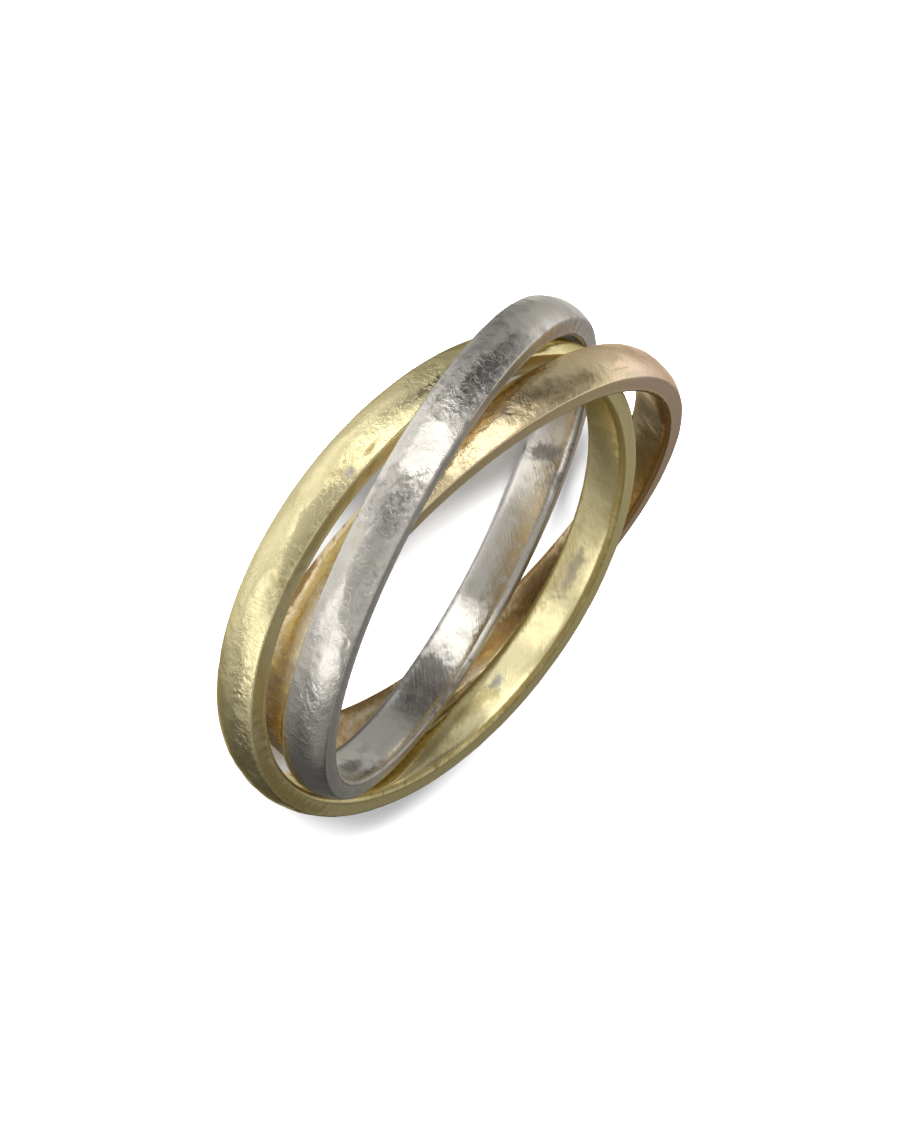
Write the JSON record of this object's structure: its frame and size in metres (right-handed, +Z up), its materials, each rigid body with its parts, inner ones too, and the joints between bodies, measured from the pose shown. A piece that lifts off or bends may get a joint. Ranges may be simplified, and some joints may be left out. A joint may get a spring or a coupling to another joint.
{
  "type": "rolling ring",
  "caption": "Finger ring of interlinked hammered bands in yellow, white and rose gold, with domed outsides, flat sides and polished insides, that roll over one another.",
  "frame": {"origin": "on the floor, under the middle of the box round the three bands", "axes": "+Z is up, about along the finger hole, with the ring lying on its side; the pictured side faces -Y"},
  "size_m": [0.0238, 0.025, 0.0061],
  "materials": {
    "yellow_gold": "hammered satin outside, brushed sides, polished inside",
    "white_gold": "hammered satin outside, brushed sides, polished inside",
    "rose_gold": "hammered satin outside, brushed sides, polished inside"
  },
  "bodies": {
    "yellow": {"yellow_band": "yellow_gold"},
    "white": {"white_band": "white_gold"},
    "rose": {"rose_band": "rose_gold"}
  },
  "joints": [
    {"name": "white_spin", "type": "hinge", "parent": "yellow", "child": "white", "pos_m": [-0.00052, -0.00138, 0.00292], "axis": [-0.1272, 0.1182, 0.9848], "continuous": true},
    {"name": "rose_spin", "type": "hinge", "parent": "yellow", "child": "rose", "pos_m": [-0.00083, 0.00132, 0.00305], "axis": [0.1838, 0.0262, 0.9826], "continuous": true}
  ]
}
